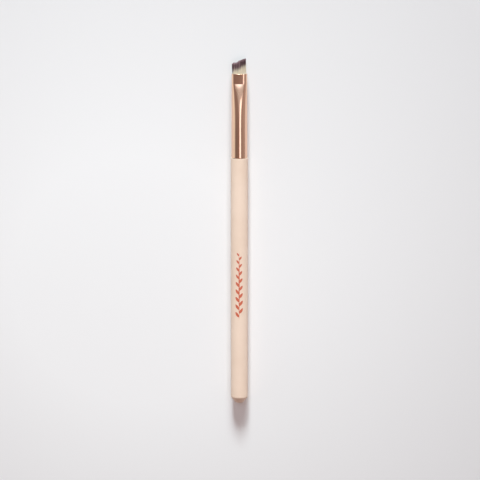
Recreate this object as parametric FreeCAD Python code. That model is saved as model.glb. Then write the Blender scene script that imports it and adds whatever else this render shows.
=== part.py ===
"""Angled eyeliner brush: a turned wooden handle, a drawn and crimped metal ferrule, and a slanted
tuft of fine filaments whose roots are set in resin. Millimetres, +Z up.

The brush lies on its round handle, as it comes to rest on a table. Its long axis runs along Y, with
the tuft at +Y and the butt at -Y, and the flat of the ferrule faces up. The origin is on the table
under the middle of the brush's length. The long side of the slanted tuft is at +X.
"""
import FreeCAD, Part
import math
import os
import random
from FreeCAD import Vector

# Handle: one turned piece of wood, a straight round bar with a tenon that enters the ferrule.
handle_diameter = 8.0
handle_length = 118.0           # from the butt to the shoulder that the ferrule seats on
butt_bevel_length = 2.8         # the butt narrows over this length
butt_flat_diameter = 3.4        # and leaves this flat in its middle
butt_bevel_crown = 0.22         # rise of the bevel's curve over a straight line
shoulder_bevel = 0.12
tenon_end_room = 1.5            # how far the tenon stops short of where the ferrule begins to flatten
tenon_chamfer = 0.5
adhesive_film = 0.10            # glue between the handle and the ferrule, on all the faces that meet
bead_recess = 0.05              # how far below the ferrule's side the squeezed-out glue stands

# Ferrule: one seamless tube, drawn and then pressed flat at its mouth.
ferrule_step = 0.25             # the tube lies this far inside the handle's side
ferrule_wall = 0.35
ferrule_length = 39.4
socket_length = 10.3            # the stretch that stays round
socket_bevel = 0.25             # leaves a groove at the shoulder, which takes the squeezed-out glue
crimp_length = 4.7              # the stretch behind the mouth that is pressed to one thickness
mouth_width = 7.3
mouth_thickness = 3.7
mouth_crown_angle = 5.0         # half angle of the mouth's face arcs: the faces are almost flat
mouth_bevel = 0.12
press_curve = 2.8               # how late the faces dive to the crimp: 1 is a straight wedge
dive_bands = 20                 # straight bands that make up the dive from round to flat

# Tuft: tapered filaments, cut on a slant.
hair_reach = 7.5                # the longest filament beyond the mouth
slant_angle = 22.5
hair_root_diameter = 0.25
hair_tip_diameter = 0.10
hair_gap = 0.03                 # between neighbours where they leave the mouth
root_length = 9.0               # gathered roots behind the mouth
root_recess = 0.6               # how far inside the mouth the roots part into filaments
resin_cover = 2.5               # resin behind the ends of the roots
tip_width_share = 0.95          # the tuft draws in to this share of the mouth's width
tip_thickness_share = 0.42      # and to this share of its thickness, for a fine edge
lock_count = 6                  # locks that the tips gather into across the width
lock_pull = 0.22                # how far a tip leans to the middle of its lock, as a share
tip_unevenness = 0.22           # the most that a tip falls short of the cut
face_shortening = 0.35          # the tuft's faces are cut this much lower than its middle
tip_seed = 11                   # the same unevenness on every run

# What these sizes give: radii, and places along the brush.
handle_radius = handle_diameter / 2
ferrule_radius = handle_radius - ferrule_step
axis_z = handle_radius
total_length = handle_length + adhesive_film + ferrule_length + hair_reach
butt_y = -total_length / 2
shoulder_y = butt_y + handle_length
ferrule_start_y = shoulder_y + adhesive_film
socket_end_y = ferrule_start_y + socket_length
tenon_end_y = socket_end_y - tenon_end_room
mouth_y = ferrule_start_y + ferrule_length
crimp_start_y = mouth_y - crimp_length
root_end_y = mouth_y - root_length
parting_y = mouth_y - root_recess
tip_y = mouth_y + hair_reach


def point(x, y, z):
    """A point whose x and z are measured from the brush's axis."""
    return Vector(x, y, axis_z + z)


def outline(corners):
    """Straight edges from each corner to the next, each corner given by its radius and its y."""
    places = [point(radius, y, 0) for radius, y in corners]
    return [Part.LineSegment(start, end).toShape() for start, end in zip(places, places[1:])]


def turned(profile):
    """The solid that a closed half outline sweeps as it turns about the brush's axis."""
    return Part.Face(Part.Wire(profile)).revolve(point(0, 0, 0), Vector(0, 1, 0), 360)


def make_handle():
    """The handle, turned in one piece from its bevelled butt to the tenon's chamfered end."""
    flat_radius = butt_flat_diameter / 2
    bevel_end_y = butt_y + butt_bevel_length
    across = handle_radius - flat_radius
    slope = math.hypot(across, butt_bevel_length)
    crown = point(
        (flat_radius + handle_radius) / 2 + butt_bevel_crown * butt_bevel_length / slope,
        (butt_y + bevel_end_y) / 2 - butt_bevel_crown * across / slope,
        0,
    )
    tenon_radius = ferrule_radius - ferrule_wall - adhesive_film
    profile = outline([
        (handle_radius, bevel_end_y),
        (handle_radius, shoulder_y - shoulder_bevel),
        (handle_radius - shoulder_bevel, shoulder_y),
        (tenon_radius, shoulder_y),
        (tenon_radius, tenon_end_y - tenon_chamfer),
        (tenon_radius - tenon_chamfer, tenon_end_y),
        (0, tenon_end_y),
        (0, butt_y),
        (flat_radius, butt_y),
    ])
    bevel = Part.Arc(point(flat_radius, butt_y, 0), crown, point(handle_radius, bevel_end_y, 0))
    return turned(profile + [bevel.toShape()])


def make_tenon_glue():
    """The film of glue round the tenon. It turns up between the shoulder and the ferrule's end, and
    stands as a bead in the groove there."""
    bore_radius = ferrule_radius - ferrule_wall
    tenon_radius = bore_radius - adhesive_film
    bead_radius = ferrule_radius - bead_recess
    film_end_y = tenon_end_y - tenon_chamfer
    return turned(outline([
        (tenon_radius, shoulder_y),
        (bead_radius, shoulder_y),
        (bead_radius, ferrule_start_y + socket_bevel - bead_recess),
        (ferrule_radius - socket_bevel, ferrule_start_y),
        (bore_radius, ferrule_start_y),
        (bore_radius, film_end_y),
        (tenon_radius, film_end_y),
        (tenon_radius, shoulder_y),
    ]))


def oval_arcs(half_width, half_thickness, crown_angle):
    """Radii of an oval's side and face arcs, which meet in tangents, and how far their centres lie
    from the axis. An oval drawn a wall's thickness further in keeps the same centres."""
    face_sine = math.sin(math.radians(crown_angle))
    face_cosine = math.cos(math.radians(crown_angle))
    spread = (half_width - half_thickness) / (face_sine + face_cosine - 1)
    side_radius = half_width - spread * face_sine
    return side_radius, side_radius + spread, spread * face_sine, spread * face_cosine


def oval_wire(y, half_width, half_thickness, crown_angle):
    """The oval at y, as four arcs: upper face, -X side, lower face, +X side."""
    side_radius, face_radius, side_centre, face_centre = oval_arcs(half_width, half_thickness, crown_angle)
    corner_x = face_radius * math.sin(math.radians(crown_angle))
    corner_z = face_radius * math.cos(math.radians(crown_angle)) - face_centre
    around = [
        point(corner_x, y, corner_z),
        point(0, y, half_thickness),
        point(-corner_x, y, corner_z),
        point(-half_width, y, 0),
        point(-corner_x, y, -corner_z),
        point(0, y, -half_thickness),
        point(corner_x, y, -corner_z),
        point(half_width, y, 0),
        point(corner_x, y, corner_z),
    ]
    return Part.Wire([Part.Arc(*around[n : n + 3]).toShape() for n in (0, 2, 4, 6)])


def tube_oval(pressed, inset):
    """The tube's section, drawn in by inset: round where pressed is 0 and the mouth's where it is 1."""
    half_width = ferrule_radius + (mouth_width / 2 - ferrule_radius) * pressed
    half_thickness = ferrule_radius + (mouth_thickness / 2 - ferrule_radius) * pressed**press_curve
    round_crown_angle = 45.0
    crown_angle = round_crown_angle + (mouth_crown_angle - round_crown_angle) * pressed
    return half_width - inset, half_thickness - inset, crown_angle


def tube_form(inset, bevels):
    """The tube as a solid form, drawn in by inset: a round socket, the dive and the crimp. Bevels are
    those of its two ends, the socket's and the mouth's."""
    socket_edge, mouth_edge = bevels
    dive_length = crimp_start_y - socket_end_y
    stations = [oval_wire(ferrule_start_y + socket_edge, *tube_oval(0, inset))]
    for n in range(dive_bands + 1):
        pressed = n / dive_bands
        stations.append(oval_wire(socket_end_y + dive_length * pressed, *tube_oval(pressed, inset)))
    stations.append(oval_wire(mouth_y - mouth_edge, *tube_oval(1, inset)))
    if socket_edge:
        stations.insert(0, oval_wire(ferrule_start_y, *tube_oval(0, inset + socket_edge)))
    if mouth_edge:
        stations.append(oval_wire(mouth_y, *tube_oval(1, inset + mouth_edge)))
    return Part.makeLoft(stations, True, True)


def make_ferrule():
    """The ferrule: the tube's outer form, hollowed by the same form drawn in by the wall."""
    return tube_form(0, (socket_bevel, mouth_bevel)).cut(tube_form(ferrule_wall, (0, 0)))


def make_root_bundle():
    """The gathered roots: they fill the crimp and run on behind it into the resin."""
    section = tube_oval(1, ferrule_wall)
    return Part.makeLoft([oval_wire(root_end_y, *section), oval_wire(parting_y, *section)], True, True)


def make_resin_plug():
    """The resin cast behind the crimp. It fills the tube round the roots and closes over their ends."""
    plug_start_y = root_end_y - resin_cover
    stretch = turned(outline([
        (0, plug_start_y),
        (handle_diameter, plug_start_y),
        (handle_diameter, crimp_start_y),
        (0, crimp_start_y),
        (0, plug_start_y),
    ]))
    return tube_form(ferrule_wall, (0, 0)).common(stretch).cut(make_root_bundle())


def is_in_oval(x, z, half_width, half_thickness, crown_angle):
    """Whether a point lies inside an oval."""
    side_radius, face_radius, side_centre, face_centre = oval_arcs(half_width, half_thickness, crown_angle)
    if math.atan2(abs(x), abs(z) + face_centre) <= math.radians(crown_angle):
        return math.hypot(x, abs(z) + face_centre) <= face_radius
    return math.hypot(abs(x) - side_centre, z) <= side_radius


def hair_places():
    """Where the filaments leave the mouth: close-packed rows that fill it."""
    pitch = hair_root_diameter + hair_gap
    row_pitch = pitch * math.sin(math.radians(60))
    room = tube_oval(1, ferrule_wall + pitch / 2)
    rows = math.ceil(mouth_thickness / row_pitch)
    columns = math.ceil(mouth_width / pitch)
    places = []
    for row in range(-rows, rows + 1):
        for column in range(-columns, columns + 1):
            x = pitch * (column + row % 2 / 2)
            z = row_pitch * row
            if is_in_oval(x, z, *room):
                places.append((x, z))
    return places


def hexagon(x, y, z, diameter):
    """The closed outline of a filament's section."""
    corners = []
    for angle in range(30, 391, 60):
        turn = math.radians(angle)
        corners.append(point(x + diameter / 2 * math.cos(turn), y, z + diameter / 2 * math.sin(turn)))
    return corners


def make_hair(root, tip):
    """One tapered filament between two hexagons, with flat sides."""
    faces = [Part.Face(Part.makePolygon(root)), Part.Face(Part.makePolygon(tip))]
    for n in range(6):
        side = [root[n], root[n + 1], tip[n + 1], tip[n], root[n]]
        faces.append(Part.Face(Part.makePolygon(side)))
    return Part.makeSolid(Part.makeShell(faces))


def make_bristles():
    """The tuft: filaments that rise from the gathered roots to a thin slanted edge."""
    draw = random.Random(tip_seed)
    places = hair_places()
    reach_x = max(x for x, z in places)
    reach_z = max(z for x, z in places)
    lock_width = 2 * reach_x / lock_count
    corner_x = tip_width_share * reach_x
    ends = []
    for x, z in places:
        lock = min(int((x + reach_x) / lock_width), lock_count - 1)
        lock_middle = (lock + 0.5) * lock_width - reach_x
        end_x = tip_width_share * (x + lock_pull * (lock_middle - x))
        below_cut = face_shortening * (z / reach_z) ** 2 + draw.uniform(0, tip_unevenness)
        slant = (corner_x - end_x) * math.tan(math.radians(slant_angle))
        ends.append((end_x, -slant - below_cut, tip_thickness_share * z))
    highest = max(y for x, y, z in ends)
    start_y = parting_y - hair_root_diameter
    hairs = []
    for (x, z), (end_x, end_y, end_z) in zip(places, ends):
        root = hexagon(x, start_y, z, hair_root_diameter)
        tip = hexagon(end_x, tip_y + end_y - highest, end_z, hair_tip_diameter)
        hairs.append(make_hair(root, tip))
    return make_root_bundle().fuse(hairs)


pieces = {
    "handle": make_handle(),
    "tenon_glue": make_tenon_glue(),
    "ferrule": make_ferrule(),
    "resin_plug": make_resin_plug(),
    "bristles": make_bristles(),
}
os.makedirs("parts", exist_ok=True)
for name, shape in pieces.items():
    print(name, "solids", len(shape.Solids), "valid", shape.isValid(), "mm3", round(shape.Volume, 2))
    shape.exportStep(f"parts/{name}.step")
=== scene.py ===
"""Looks of an angled eyeliner brush, piece by piece in the order in which it is put together."""
import math
import random

import bmesh
import bpy
from mathutils import Matrix, Vector, noise


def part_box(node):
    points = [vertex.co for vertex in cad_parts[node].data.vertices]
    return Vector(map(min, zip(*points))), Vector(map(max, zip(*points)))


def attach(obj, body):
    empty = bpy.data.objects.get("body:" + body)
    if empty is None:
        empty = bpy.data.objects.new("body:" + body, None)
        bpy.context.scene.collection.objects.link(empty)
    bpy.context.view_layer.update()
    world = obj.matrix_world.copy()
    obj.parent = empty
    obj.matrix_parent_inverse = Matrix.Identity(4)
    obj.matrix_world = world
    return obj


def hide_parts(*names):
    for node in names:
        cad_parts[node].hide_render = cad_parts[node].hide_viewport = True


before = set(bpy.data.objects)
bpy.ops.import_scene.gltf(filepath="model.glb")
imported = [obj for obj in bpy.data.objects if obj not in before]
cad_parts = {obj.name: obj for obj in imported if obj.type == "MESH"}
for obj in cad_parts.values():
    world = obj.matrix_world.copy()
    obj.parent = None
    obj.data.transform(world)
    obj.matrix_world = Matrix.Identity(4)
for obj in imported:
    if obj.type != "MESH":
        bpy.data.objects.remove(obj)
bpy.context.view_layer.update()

mm = 0.001

# Handle: a straight bar of wood, turned in one piece with its bevelled butt and the tenon that the
# ferrule is glued to, then dipped in cream lacquer that rounds its edges and dries to a satin.
handle_low, handle_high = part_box("handle")
glue_low, glue_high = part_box("tenon_glue")
axis_z = (handle_low.z + handle_high.z) / 2
handle_radius = (handle_high.x - handle_low.x) / 2
butt_y = handle_low.y
shoulder_y = glue_low.y
tenon_end_y = handle_high.y
butt_flat_radius = 1.7 * mm
butt_bevel_length = 2.8 * mm
butt_edge_round = 0.7 * mm
bevel_edge_round = 0.45 * mm
shoulder_round = 0.05 * mm
tenon_radius = 3.3 * mm
tenon_chamfer = 0.5 * mm
turned_steps = 128
lacquer_cream = (0.83, 0.64, 0.52, 1)
lacquer_shade = (0.785, 0.595, 0.475, 1)


def new_piece(name, bm, finish, smooth=True):
    """Makes a piece of a finished bmesh, which is lifted from the brush's axis to its height."""
    bmesh.ops.translate(bm, verts=bm.verts, vec=(0, 0, axis_z))
    for face in bm.faces:
        face.smooth = smooth
    mesh = bpy.data.meshes.new(name)
    bm.to_mesh(mesh)
    bm.free()
    mesh.materials.append(finish)
    piece = bpy.data.objects.new(name, mesh)
    bpy.context.scene.collection.objects.link(piece)
    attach(piece, "root")
    return piece


def turned(outline, roundings):
    """Turns a half outline of (radius, y) corners about the axis, with some of its corners rounded."""
    bm = bmesh.new()
    corners = [bm.verts.new((radius, y, 0)) for radius, y in outline]
    for start, end in zip(corners, corners[1:]):
        bm.edges.new((start, end))
    for corner, rounding in roundings:
        bmesh.ops.bevel(
            bm, geom=[corners[corner]], affect="VERTICES", offset=rounding, offset_type="OFFSET",
            segments=8, profile=0.5, material=-1,
        )
    bmesh.ops.spin(
        bm, geom=bm.verts[:] + bm.edges[:], cent=(0, 0, 0), axis=(0, 1, 0),
        angle=2 * math.pi, steps=turned_steps, use_merge=True,
    )
    bmesh.ops.remove_doubles(bm, verts=bm.verts, dist=0.001 * mm)
    bmesh.ops.recalc_face_normals(bm, faces=bm.faces)
    return bm


def cut_ring(bm, y):
    """Cuts a ring of edges round the piece at y."""
    geom = bm.verts[:] + bm.edges[:] + bm.faces[:]
    bmesh.ops.bisect_plane(bm, geom=geom, plane_co=(0, y, 0), plane_no=(0, 1, 0))


class Finish:
    """A new material, its shader, and short ways to add nodes and to wire them."""

    def __init__(self, name):
        self.material = bpy.data.materials.new(name)
        self.material.use_nodes = True
        self.tree = self.material.node_tree
        self.shader = self.tree.nodes["Principled BSDF"]

    def add(self, kind, inputs, output=0, **settings):
        node = self.tree.nodes.new(kind)
        for key, value in settings.items():
            setattr(node, key, value)
        for key, value in inputs.items():
            self.wire(value, node.inputs[key])
        return node.outputs[output]

    def wire(self, value, socket):
        if isinstance(value, bpy.types.NodeSocket):
            self.tree.links.new(value, socket)
        else:
            socket.default_value = value

    def ramp(self, share, *stops):
        node = self.tree.nodes.new("ShaderNodeValToRGB")
        self.tree.links.new(share, node.inputs["Fac"])
        while len(node.color_ramp.elements) < len(stops):
            node.color_ramp.elements.new(1)
        for element, (position, colour) in zip(node.color_ramp.elements, stops):
            element.position = position
            element.color = colour
        return node.outputs["Color"]

    def set(self, **values):
        for key, value in values.items():
            self.wire(value, self.shader.inputs[key.replace("_", " ")])


def lacquer_finish():
    finish = Finish("cream_lacquer")
    place = finish.add("ShaderNodeTexCoord", {}, "Object")
    cloud = finish.add("ShaderNodeTexNoise", {"Vector": place, "Scale": 70, "Detail": 3})
    peel = finish.add("ShaderNodeTexNoise", {"Vector": place, "Scale": 1300, "Detail": 2})
    relief = finish.add("ShaderNodeBump", {"Height": peel, "Strength": 0.08, "Distance": 0.02 * mm})
    gloss = finish.add("ShaderNodeMapRange", {"Value": cloud, "To Min": 0.42, "To Max": 0.54})
    finish.set(
        Base_Color=finish.ramp(cloud, (0.35, lacquer_shade), (0.65, lacquer_cream)),
        Roughness=gloss, Normal=relief, Specular_IOR_Level=0.2, Coat_Weight=0.05, Coat_Roughness=0.3,
    )
    return finish.material


outline = [
    (0, butt_y), (butt_flat_radius, butt_y), (handle_radius, butt_y + butt_bevel_length),
    (handle_radius, shoulder_y), (tenon_radius, shoulder_y), (tenon_radius, tenon_end_y - tenon_chamfer),
    (tenon_radius - tenon_chamfer, tenon_end_y), (0, tenon_end_y),
]
bm = turned(outline, ((1, butt_edge_round), (2, bevel_edge_round), (3, shoulder_round)))
cut_ring(bm, butt_y + butt_bevel_length + 2 * bevel_edge_round)
cut_ring(bm, shoulder_y - 2 * shoulder_round)
handle = new_piece("lacquered_handle", bm, lacquer_finish())
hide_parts("handle")

# Print: a small sprig of leaves in coral ink, pad-printed once the lacquer is dry. The ink is a thin
# film that follows the round of the handle.
sprig_start_y = -41.5 * mm
sprig_length = 33.5 * mm
sprig_turn = math.radians(3)
sprig_leaves = 17
first_leaf_share = 0.04
leafy_share = 0.88
leaf_length = 3.2 * mm
leaf_width = 1.25 * mm
leaf_shrinking = 0.4
leaf_angle = math.radians(34)
stem_width = 0.5 * mm
ink_film = 0.012 * mm
ink_coral = (0.56, 0.11, 0.055, 1)
ink_pale = (0.64, 0.17, 0.10, 1)


def ink_finish():
    finish = Finish("coral_ink")
    place = finish.add("ShaderNodeTexCoord", {}, "Object")
    speck = finish.add("ShaderNodeTexNoise", {"Vector": place, "Scale": 5000, "Detail": 2})
    finish.set(Base_Color=finish.ramp(speck, (0.4, ink_coral), (0.7, ink_pale)), Roughness=0.55)
    return finish.material


def add_leaf(bm, length, width, base_y, turn):
    """A flat pointed leaf that leaves the stem at base_y, turned from it; the stem is a long one."""
    for vert in bmesh.ops.create_grid(bm, x_segments=10, y_segments=2, size=0.5)["verts"]:
        along = vert.co.x + 0.5
        across = vert.co.y * width * math.sin(math.pi * along) ** 0.7 if 0.01 < along < 0.99 else 0
        vert.co.x = along * length * math.sin(turn) + across * math.cos(turn)
        vert.co.y = base_y + along * length * math.cos(turn) - across * math.sin(turn)


bm = bmesh.new()
add_leaf(bm, sprig_length, stem_width, sprig_start_y, 0)
for leaf in range(sprig_leaves):
    share = leaf / (sprig_leaves - 1)
    size = 1 - leaf_shrinking * share**2
    side = 1 if leaf % 2 else -1
    leaf_y = sprig_start_y + sprig_length * (first_leaf_share + leafy_share * share)
    add_leaf(bm, leaf_length * size, leaf_width * size, leaf_y, side * leaf_angle)
bmesh.ops.remove_doubles(bm, verts=bm.verts, dist=0.001 * mm)
bmesh.ops.solidify(bm, geom=bm.faces[:], thickness=ink_film)
for vert in bm.verts:
    angle = vert.co.x / handle_radius + sprig_turn
    radius = handle_radius + vert.co.z + ink_film / 2
    vert.co = Vector((radius * math.sin(angle), vert.co.y, radius * math.cos(angle)))
bmesh.ops.recalc_face_normals(bm, faces=bm.faces)
new_piece("printed_sprig", bm, ink_finish(), smooth=False)

# Tenon glue: a film of dark amber epoxy round the tenon. It turns up between the shoulder and the
# ferrule's end as a bead, and its very dark colour paints the shade in that groove as well as the glue.
ferrule_low, ferrule_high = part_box("ferrule")
ferrule_start_y = ferrule_low.y
bore_radius = 3.4 * mm
bead_radius = (glue_high.x - glue_low.x) / 2
socket_rim = 0.28 * mm
bead_climb = 0.8 * socket_rim
# The darkest resin colour is partly painted shade: it darkens the bead in the joint's groove.
dark_resin_and_joint_shade = (0.040, 0.018, 0.010, 1)
resin_amber = (0.085, 0.042, 0.020, 1)


def resin_finish():
    finish = Finish("epoxy_resin")
    place = finish.add("ShaderNodeTexCoord", {}, "Object")
    cloud = finish.add("ShaderNodeTexNoise", {"Vector": place, "Scale": 900, "Detail": 2})
    finish.set(Base_Color=finish.ramp(cloud, (0.4, dark_resin_and_joint_shade), (0.7, resin_amber)), Roughness=0.3)
    return finish.material


resin = resin_finish()
outline = [
    (tenon_radius, shoulder_y), (bead_radius, shoulder_y), (bead_radius, ferrule_start_y + bead_climb),
    (bore_radius, ferrule_start_y), (bore_radius, glue_high.y), (tenon_radius, glue_high.y),
    (tenon_radius, shoulder_y),
]
glue = new_piece("glue_bead_and_joint_shade", turned(outline, ()), resin)
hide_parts("tenon_glue")

# Ferrule: a seamless tube, pressed flat at its mouth, polished and plated rose gold. Its round end is
# glued over the tenon, and both rims are broken a little so that they don't cut.
ferrule_radius = (ferrule_high.x - ferrule_low.x) / 2
mouth_y = ferrule_high.y
ferrule_wall = ferrule_radius - bore_radius
socket_length = 10.3 * mm
crimp_length = 4.7 * mm
dive_start_y = ferrule_start_y + socket_length
crimp_start_y = mouth_y - crimp_length
mouth_half_thickness = 1.85 * mm
mouth_half_width = 3.65 * mm
mouth_crown = math.radians(5)
press_curve = 2.8
mouth_rim = 0.045 * mm
crease_width = 0.045 * mm
tube_sides = 96
dive_rings = 56
rose_gold = (0.86, 0.56, 0.41, 1)


def press(vert):
    """Moves a point of the round tube onto the oval, of two face arcs and two side arcs, that the
    press makes there: none at the end of the socket and all of it at the crimp."""
    pressed = min(max((vert.co.y - dive_start_y) / (crimp_start_y - dive_start_y), 0), 1)
    half_width = ferrule_radius + (mouth_half_width - ferrule_radius) * pressed
    half_thickness = ferrule_radius + (mouth_half_thickness - ferrule_radius) * pressed**press_curve
    eighth = math.pi / 4
    crown = eighth + (mouth_crown - eighth) * pressed
    spread = (half_width - half_thickness) / (math.sin(crown) + math.cos(crown) - 1)
    side_centre = spread * math.sin(crown)
    side_radius = half_width - side_centre
    face_radius = side_radius + spread
    angle = math.atan2(vert.co.z, vert.co.x)
    quarter = round(angle / (2 * eighth))
    lean = angle - quarter * 2 * eighth
    sign = 1 if quarter in (0, 1) else -1
    if quarter % 2:
        turn = lean / eighth * crown
        vert.co.x = -sign * face_radius * math.sin(turn)
        vert.co.z = sign * (face_radius * math.cos(turn) - spread * math.cos(crown))
    else:
        turn = lean / eighth * (2 * eighth - crown)
        vert.co.x = sign * (side_centre + side_radius * math.cos(turn))
        vert.co.z = sign * side_radius * math.sin(turn)


def plating_finish():
    finish = Finish("rose_gold_plating")
    place = finish.add("ShaderNodeTexCoord", {}, "Object")
    drawn = finish.add("ShaderNodeMapping", {"Vector": place, "Scale": (1, 0.02, 1)})
    lines = finish.add("ShaderNodeTexNoise", {"Vector": drawn, "Scale": 9000, "Detail": 2})
    relief = finish.add("ShaderNodeBump", {"Height": lines, "Strength": 0.03, "Distance": 0.01 * mm})
    cloud = finish.add("ShaderNodeTexNoise", {"Vector": place, "Scale": 180, "Detail": 3})
    haze = finish.add("ShaderNodeMapRange", {"Value": cloud, "To Min": 0.09, "To Max": 0.16})
    finish.set(Base_Color=rose_gold, Metallic=1, Roughness=haze, Normal=relief)
    return finish.material


bm = bmesh.new()
bmesh.ops.create_cone(
    bm, cap_ends=False, segments=tube_sides, radius1=ferrule_radius, radius2=ferrule_radius,
    depth=mouth_y - ferrule_start_y,
)
bmesh.ops.rotate(bm, verts=bm.verts, cent=(0, 0, 0), matrix=Matrix.Rotation(math.pi / 2, 3, "X"))
bmesh.ops.translate(bm, verts=bm.verts, vec=(0, (mouth_y + ferrule_start_y) / 2, 0))
# Rings beside the rims and the crease keep what lies next to them straight.
for y in (ferrule_start_y + 1.3 * socket_rim, mouth_y - 1.5 * mouth_rim):
    cut_ring(bm, y)
for side in (-1, 1):
    cut_ring(bm, crimp_start_y + side * crease_width)
for ring in range(dive_rings + 1):
    cut_ring(bm, dive_start_y + (crimp_start_y - dive_start_y) * ring / dive_rings)
for vert in bm.verts:
    press(vert)
bmesh.ops.recalc_face_normals(bm, faces=bm.faces)
bmesh.ops.solidify(bm, geom=bm.faces[:], thickness=ferrule_wall)
# The mouth is rounded outside and inside, the other end outside only, as the tenon fills its bore.
for rim_y, rounding in ((mouth_y, mouth_rim), (ferrule_start_y, socket_rim)):
    rim = [
        edge for edge in bm.edges
        if all(abs(vert.co.y - rim_y) < 0.001 * mm for vert in edge.verts)
        and sum(abs(face.normal.y) > 0.9 for face in edge.link_faces) == 1
        and (rim_y == mouth_y or edge.verts[0].co.xz.length > bore_radius + ferrule_wall / 2)
    ]
    bmesh.ops.bevel(
        bm, geom=rim, affect="EDGES", offset=rounding, offset_type="OFFSET",
        segments=4, profile=0.5, material=-1,
    )
ferrule = new_piece("plated_ferrule", bm, plating_finish())
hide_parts("ferrule")

# Resin plug: the epoxy that the filaments' roots are potted in, out of sight behind the crimp.
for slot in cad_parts["resin_plug"].material_slots:
    slot.material = resin

# Tuft: fine synthetic filaments, gathered, potted in the resin and cut on a slant. They are cream, with
# tips dipped in a plum dye that creeps up some of them further than up others. They draw together into
# locks, and the locks of one layer lie over the gaps of the next.
tuft_low, tuft_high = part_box("bristles")
tuft_half_width = (tuft_high.x - tuft_low.x) / 2
tuft_half_thickness = (tuft_high.z - tuft_low.z) / 2
tip_y = tuft_high.y - 0.15 * mm
slant = math.tan(math.radians(22.5))
filament_pitch = 0.094 * mm
filament_diameter = 0.088 * mm
filament_tip_diameter = 0.04 * mm
filament_start_y = mouth_y - 1.5 * mm
filament_steps = 8
tip_spread = 1.06
tip_thickness_share = 0.45
tip_scatter = 0.035 * mm
stray_x = 0.1 * mm
stray_z = 0.12 * mm
stray_pitch_x = 1.0 * mm
stray_pitch_z = 2.0 * mm
tuft_lean = -0.27 * mm
face_shortening = 0.3 * mm
cut_scatter = 0.12 * mm
# A lock's place as a share of the half width, how far it passes the cut in mm, and its share of the
# dye's depth.
locks = (
    (-0.94, -0.1, 1.2), (-0.74, 0.22, 1.07), (-0.48, -0.15, 1.04), (-0.24, -0.3, 1.1),
    (-0.03, 0.13, 1.18), (0.2, 0.08, 1.13), (0.41, 0.07, 0.96), (0.59, 0.05, 1.0),
    (0.78, 0, 1.0), (0.97, -0.2, 0.86),
)
locks_between = tuple(tuple((a + b) / 2 for a, b in zip(*pair)) for pair in zip(locks, locks[1:]))
lock_pull = 0.42
lock_depth = 0.95 * mm
lock_core = 0.12
dye_depth = 3.75 * mm
dye_scatter = 0.1
edge_dye_loss = 0.2
fading = 0.15
fading_scatter = 0.18
edge_fading = 0.6
inner_fading = 0.3
filament_cream = (0.85, 0.725, 0.57, 1)
dye_plum = (0.060, 0.021, 0.027, 1)
dye_faded = (0.47, 0.30, 0.31, 1)


def filament_finish():
    finish = Finish("dyed_filament")
    strand = finish.add("ShaderNodeUVMap", {}, uv_map="strand")
    tone = finish.add("ShaderNodeSeparateXYZ", {"Vector": strand}, "X")
    depth = finish.add("ShaderNodeSeparateXYZ", {"Vector": strand}, "Y")
    clean = finish.add("ShaderNodeMapRange", {"Value": depth, "From Min": 0.74, "From Max": 1.26})
    dye = finish.ramp(tone, (0.35, dye_plum), (1.0, dye_faded))
    colour = finish.add(
        "ShaderNodeMix", {"Factor": clean, "A": dye, "B": filament_cream}, "Result", data_type="RGBA",
    )
    bright = finish.add("ShaderNodeMapRange", {"Value": tone, "To Min": 0.8, "To Max": 1.1})
    colour = finish.add("ShaderNodeHueSaturation", {"Color": colour, "Value": bright})
    finish.set(Base_Color=colour, Roughness=0.5, Specular_IOR_Level=0.15)
    return finish.material


def filament_places():
    """Close-packed places that fill the mouth's opening, a stadium."""
    row_pitch = filament_pitch * math.sin(math.radians(60))
    rows = int(tuft_half_thickness / row_pitch)
    columns = int(tuft_half_width / filament_pitch)
    for row in range(-rows, rows + 1):
        for column in range(-columns, columns + 1):
            x = filament_pitch * (column + row % 2 / 2)
            z = row_pitch * row
            over = max(abs(x) - (tuft_half_width - tuft_half_thickness), 0)
            if math.hypot(over, z) < tuft_half_thickness - filament_diameter / 2:
                yield x, z


def wander(x, z, seed):
    """A number from -1 to 1 that changes slowly over the tuft."""
    return noise.noise(Vector((x / stray_pitch_x, z / stray_pitch_z, seed)))


strand = bmesh.new()
bmesh.ops.create_cone(strand, cap_ends=True, segments=3, radius1=0.5, radius2=0.5, depth=1)
bmesh.ops.translate(strand, verts=strand.verts, vec=(0, 0, 0.5))
long_edges = [edge for edge in strand.edges if abs(edge.verts[0].co.z - edge.verts[1].co.z) > 0.5]
bmesh.ops.subdivide_edges(strand, edges=long_edges, cuts=filament_steps - 1, use_grid_fill=True)
strand_mesh = bpy.data.meshes.new("strand")
strand.to_mesh(strand_mesh)
strand.free()

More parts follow.
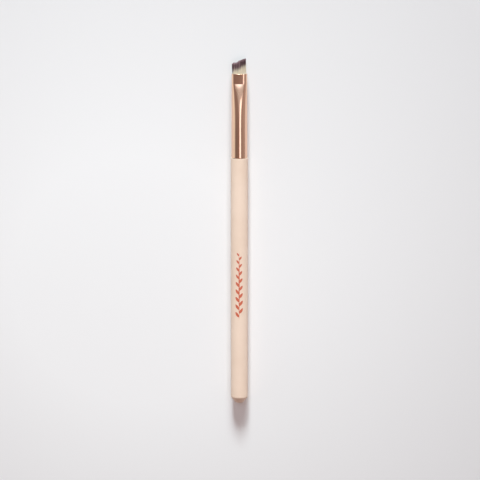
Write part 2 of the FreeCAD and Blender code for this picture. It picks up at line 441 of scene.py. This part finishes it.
draw = random.Random(5)
bm = bmesh.new()
strand_layer = bm.loops.layers.uv.new("strand")
filaments = []
for x, z in filament_places():
    first = len(bm.verts)
    bm.from_mesh(strand_mesh)
    bm.verts.ensure_lookup_table()
    near_tip_x = tip_spread * x + stray_x * wander(x, z, 7.7)
    layer = round(z / lock_depth)
    layer_locks = locks if layer % 2 else locks_between
    nearest = min(layer_locks, key=lambda lock: abs(lock[0] * tuft_half_width - near_tip_x))
    lock_x, lock_cut, lock_dye = nearest
    lock_x *= tuft_half_width
    lock_z = layer * lock_depth
    end_x = near_tip_x + (lock_x - near_tip_x) * lock_pull + draw.gauss(0, tip_scatter)
    end_z = tip_thickness_share * (z + (lock_z - z) * lock_pull) + stray_z * wander(x, z, 3.1)
    cut_y = tip_y - (tuft_half_width - end_x) * slant + lock_cut * mm
    end_y = cut_y - face_shortening * (z / tuft_half_thickness) ** 2 - abs(draw.gauss(0, cut_scatter))
    aside = (near_tip_x - lock_x) / (lock_core * tuft_half_width)
    astray = min(math.hypot(aside, (z - lock_z) / lock_depth), 1)
    dyed = dye_depth * (lock_dye - edge_dye_loss * astray**2 + draw.gauss(0, dye_scatter))
    layer_fading = 0 if layer % 2 else inner_fading
    tone = edge_fading * astray**2 + layer_fading + draw.gauss(fading, fading_scatter)
    tone = min(max(tone, 0), 1)
    for vert in bm.verts[first:]:
        along = vert.co.z
        width = filament_diameter + (filament_tip_diameter - filament_diameter) * along**2
        bend = along * along * (3 - 2 * along)
        vert.co = Vector((
            x + (end_x + tuft_lean - x) * bend + vert.co.x * width,
            filament_start_y + (end_y - filament_start_y) * along,
            z + (end_z - z) * bend + vert.co.y * width,
        ))
    filaments.append((tone, cut_y, dyed))
bm.verts.index_update()
for face in bm.faces:
    for loop in face.loops:
        tone, cut_y, dyed = filaments[loop.vert.index // len(strand_mesh.vertices)]
        loop[strand_layer].uv = (tone, (cut_y - loop.vert.co.y) / dyed)
tuft = new_piece("filament_tuft", bm, filament_finish())
for polygon in tuft.data.polygons:
    polygon.use_smooth = len(polygon.vertices) == 4
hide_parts("bristles")

# Table: a plain, pale and matt surface that the brush lies on. It is palest beside the brush and has
# painted shade that darkens it a little away from there.
table_half_width = 4
table_pale = (0.82, 0.793, 0.796, 1)
# The far colour is painted shade, which darkens the table away from the palest place.
table_painted_shade = (0.65, 0.622, 0.628, 1)
painted_light_centre = (-0.05, -0.025, 0)
painted_shade_reach = 0.25
bm = bmesh.new()
bmesh.ops.create_grid(bm, x_segments=1, y_segments=1, size=table_half_width)
mesh = bpy.data.meshes.new("table_top")
bm.to_mesh(mesh)
bm.free()
table = bpy.data.objects.new("table_top", mesh)
bpy.context.scene.collection.objects.link(table)
finish = Finish("pale_table")
place = finish.add("ShaderNodeTexCoord", {}, "Object")
# Painted shade: a spherical ramp darkens the table away from a place beside the brush.
offset = [-c / painted_shade_reach for c in painted_light_centre]
zoom = [1 / painted_shade_reach] * 3
painted_falloff = finish.add("ShaderNodeMapping", {"Vector": place, "Location": offset, "Scale": zoom})
painted_falloff = finish.add("ShaderNodeTexGradient", {"Vector": painted_falloff}, gradient_type="SPHERICAL")
finish.set(
    Base_Color=finish.ramp(painted_falloff, (0.2, table_painted_shade), (0.76, table_pale)),
    Roughness=0.85, Specular_IOR_Level=0.1,
)
mesh.materials.append(finish.material)


# Light: a low soft key from beyond the tuft with a weaker one to its right, a long strip and a short
# panel overhead, and a dim room. Its pale sides and ceiling show in the ferrule. The warm glow from the
# butt's side shows nowhere and tints the shade.
def aim(thing, back):
    """Places a thing at back from the brush and turns it to face the brush, its up side to the tuft."""
    side = Vector((0, 1, 0)).cross(back).normalized()
    front = back.normalized()
    thing.matrix_world = Matrix((side, front.cross(side), front)).transposed().to_4x4()
    thing.matrix_world.translation = back
    bpy.context.scene.collection.objects.link(thing)


def soft_light(name, back, width, length, radiance, colour):
    light = bpy.data.lights.new(name, "AREA")
    light.shape = "RECTANGLE"
    light.size = width
    light.size_y = length
    light.energy = radiance * math.pi * width * length
    light.color = colour
    aim(bpy.data.objects.new(name, light), Vector(back))


def light_room():
    world = bpy.data.worlds.new("dim_room")
    bpy.context.scene.world = world
    world.use_nodes = True
    tree = world.node_tree
    place = tree.nodes.new("ShaderNodeTexCoord").outputs["Generated"]

    def glow(towards, low, high, dark, bright, colour):
        """A light of one colour that grows from dark to bright as the view turns towards a direction."""
        dot = tree.nodes.new("ShaderNodeVectorMath")
        dot.operation = "DOT_PRODUCT"
        dot.inputs[1].default_value = Vector(towards).normalized()
        grow = tree.nodes.new("ShaderNodeMapRange")
        grow.interpolation_type = "SMOOTHSTEP"
        for key, value in (("From Min", low), ("From Max", high), ("To Min", dark), ("To Max", bright)):
            grow.inputs[key].default_value = value
        scale = tree.nodes.new("ShaderNodeVectorMath")
        scale.operation = "SCALE"
        scale.inputs[0].default_value = colour
        tree.links.new(place, dot.inputs[0])
        tree.links.new(dot.outputs["Value"], grow.inputs["Value"])
        tree.links.new(grow.outputs["Result"], scale.inputs["Scale"])
        return scale.outputs["Vector"]

    total = glow((0, 1, 0), -0.45, 0.0, 0.04, 0.30, (1, 0.79, 0.75))
    left_side = glow((-1, 0, 0), 0.75, 1, 0, 0.82, (0.87, 1, 0.98))
    right_side = glow((1, 0, 0), 0.3, 1, 0, 0.18, (1, 1, 0.95))
    ceiling = glow((0.09, 0.41, 1), 0.86, 0.98, 0, 0.41, (0.80, 0.98, 1.04))
    warm_shade = glow((0, -1, 1), 0.74, 1, 0, 0.42, (1, 0.37, 0.18))
    for part in (left_side, right_side, ceiling, warm_shade):
        adder = tree.nodes.new("ShaderNodeVectorMath")
        tree.links.new(total, adder.inputs[0])
        tree.links.new(part, adder.inputs[1])
        total = adder.outputs["Vector"]
    tree.links.new(total, tree.nodes["Background"].inputs["Color"])


light_room()
soft_light("key_light", (-0.055, 2.18, 0.881), 0.42, 0.51, 117, (0.87, 1.015, 1.04))
soft_light("side_light", (0.35, 2.15, 0.875), 0.32, 0.51, 42, (0.87, 1.015, 1.04))
soft_light("strip_light", (0.33, -0.17, 1.07), 0.43, 0.70, 1.46, (0.98, 0.97, 1.03))
soft_light("end_light", (-0.15, 0.487, 1.03), 0.72, 0.24, 1.42, (0.88, 1, 1.14))

# Camera: high over the brush, a little beyond its middle and to its right, with a long lens. It looks
# at a place just short of the brush's middle.
camera_right = math.radians(5.0)
camera_beyond = math.radians(10.4)
seen_place = Vector((0.28 * mm, -3.6 * mm, axis_z))
camera_data = bpy.data.cameras.new("camera")
camera_data.lens = 159.0
camera_data.sensor_width = 36
camera = bpy.data.objects.new("camera", camera_data)
aim(camera, Vector((math.tan(camera_right), math.tan(camera_beyond), 1)).normalized())
camera.matrix_world.translation += seen_place
bpy.context.scene.camera = camera
bpy.context.scene.view_settings.view_transform = "Standard"
